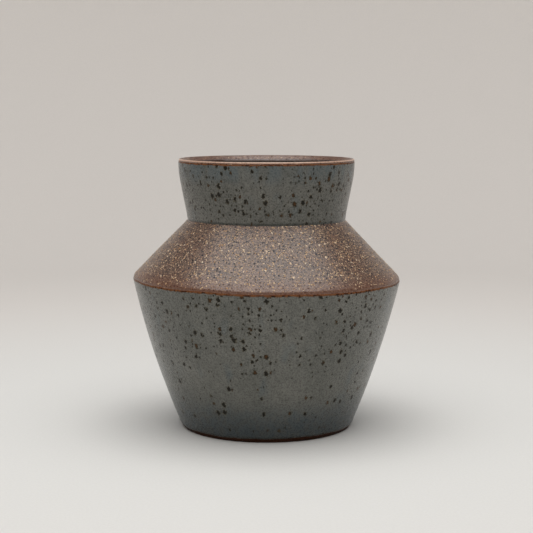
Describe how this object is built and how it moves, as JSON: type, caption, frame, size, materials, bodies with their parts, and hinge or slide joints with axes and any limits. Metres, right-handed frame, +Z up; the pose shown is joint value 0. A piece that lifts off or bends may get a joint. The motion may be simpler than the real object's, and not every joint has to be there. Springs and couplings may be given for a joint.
{
  "type": "bud vase",
  "caption": "Free-standing ceramic bud vase with a flared neck, a sloping bare clay shoulder and a tapering glazed body, open at the mouth for short stems.",
  "frame": {"origin": "centre of the foot, on the surface that the vase stands on", "axes": "+Z up along the vase's axis, through the middle of the mouth; +X and +Y level, and the round vase has no front"},
  "size_m": [0.0998, 0.0998, 0.1004],
  "materials": {
    "bare_clay": "matte speckled stoneware",
    "body_glaze": "satin iron-speckled grey glaze",
    "neck_glaze": "satin iron-speckled grey glaze",
    "liner_glaze": "gloss near-black glaze"
  },
  "bodies": {
    "root": {"stoneware_body": "bare_clay", "body_glaze": "body_glaze", "neck_glaze": "neck_glaze", "liner_glaze": "liner_glaze"}
  },
  "joints": []
}
